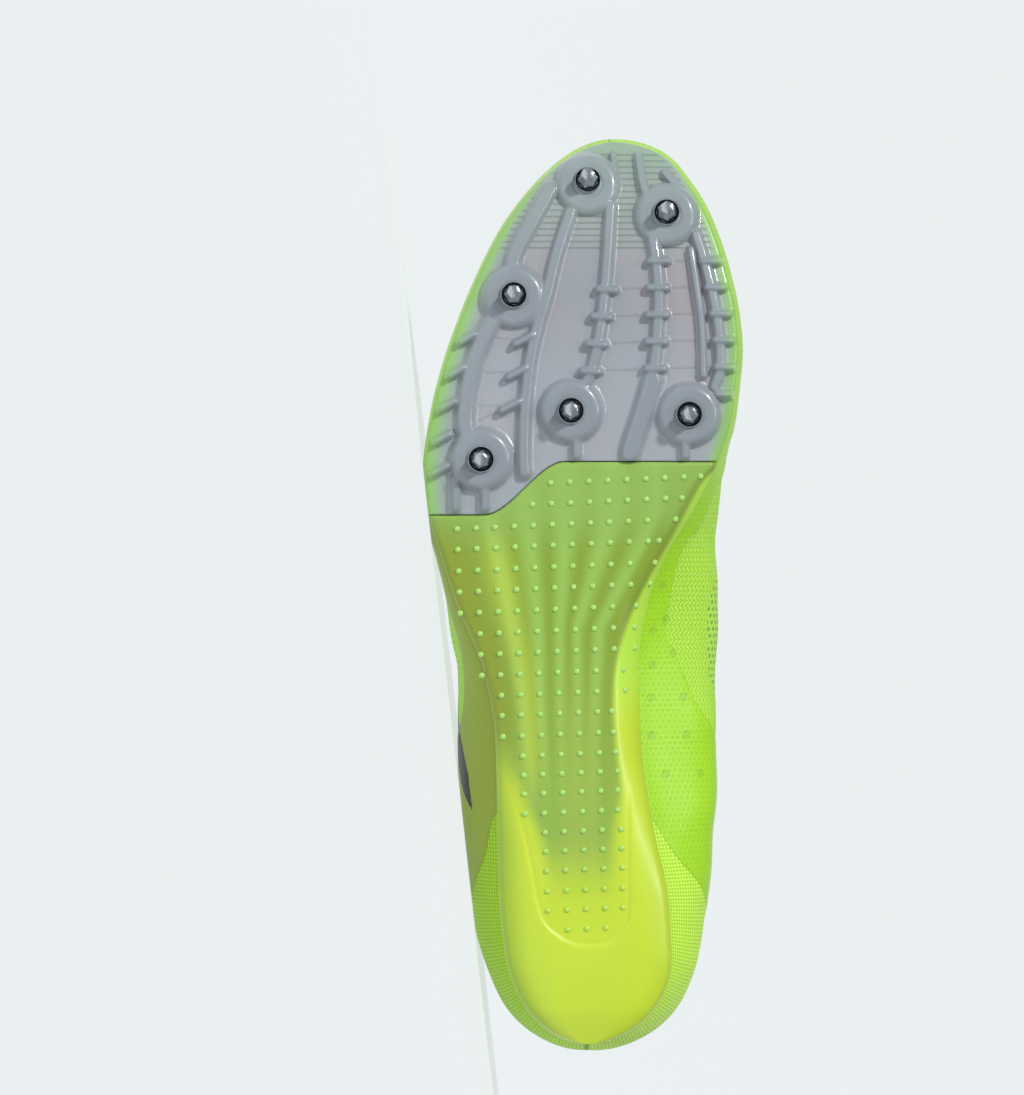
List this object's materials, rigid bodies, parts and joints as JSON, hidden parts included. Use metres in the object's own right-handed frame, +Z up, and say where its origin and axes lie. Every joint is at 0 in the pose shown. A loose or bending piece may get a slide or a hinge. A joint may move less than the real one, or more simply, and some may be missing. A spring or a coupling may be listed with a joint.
{
  "type": "track spike shoe",
  "caption": "Low running spike for the right foot, lying on its outer side, with a ribbed plate, steel spikes, a hollow arched heel moulding, a thin open upper, tongue and crossed lace.",
  "frame": {"origin": "on the floor, under the middle of the lying shoe's bounding box", "axes": "+X from toe to heel, +Y from the sole towards the collar, +Z up from the floor, towards the inner side of the foot"},
  "size_m": [0.2796, 0.1228, 0.1016],
  "materials": {
    "plate": "satin, slightly translucent grey",
    "rear_sole": "satin, translucent lime over darker stripes, with a grid of raised dots",
    "upper": "coated synthetic film and knit in lime",
    "insole": "plain cloth over foam",
    "tongue": "thin padded cloth",
    "laces": "flat woven lace",
    "steel": "bright turned steel"
  },
  "bodies": {
    "root": {"forefoot_plate": "plate", "rear_sole": "rear_sole", "upper": "upper", "insole": "insole", "tongue": "tongue", "laces": "laces", "spike_1": "steel", "spike_2": "steel", "spike_3": "steel", "spike_4": "steel", "spike_5": "steel", "spike_6": "steel"}
  },
  "joints": []
}
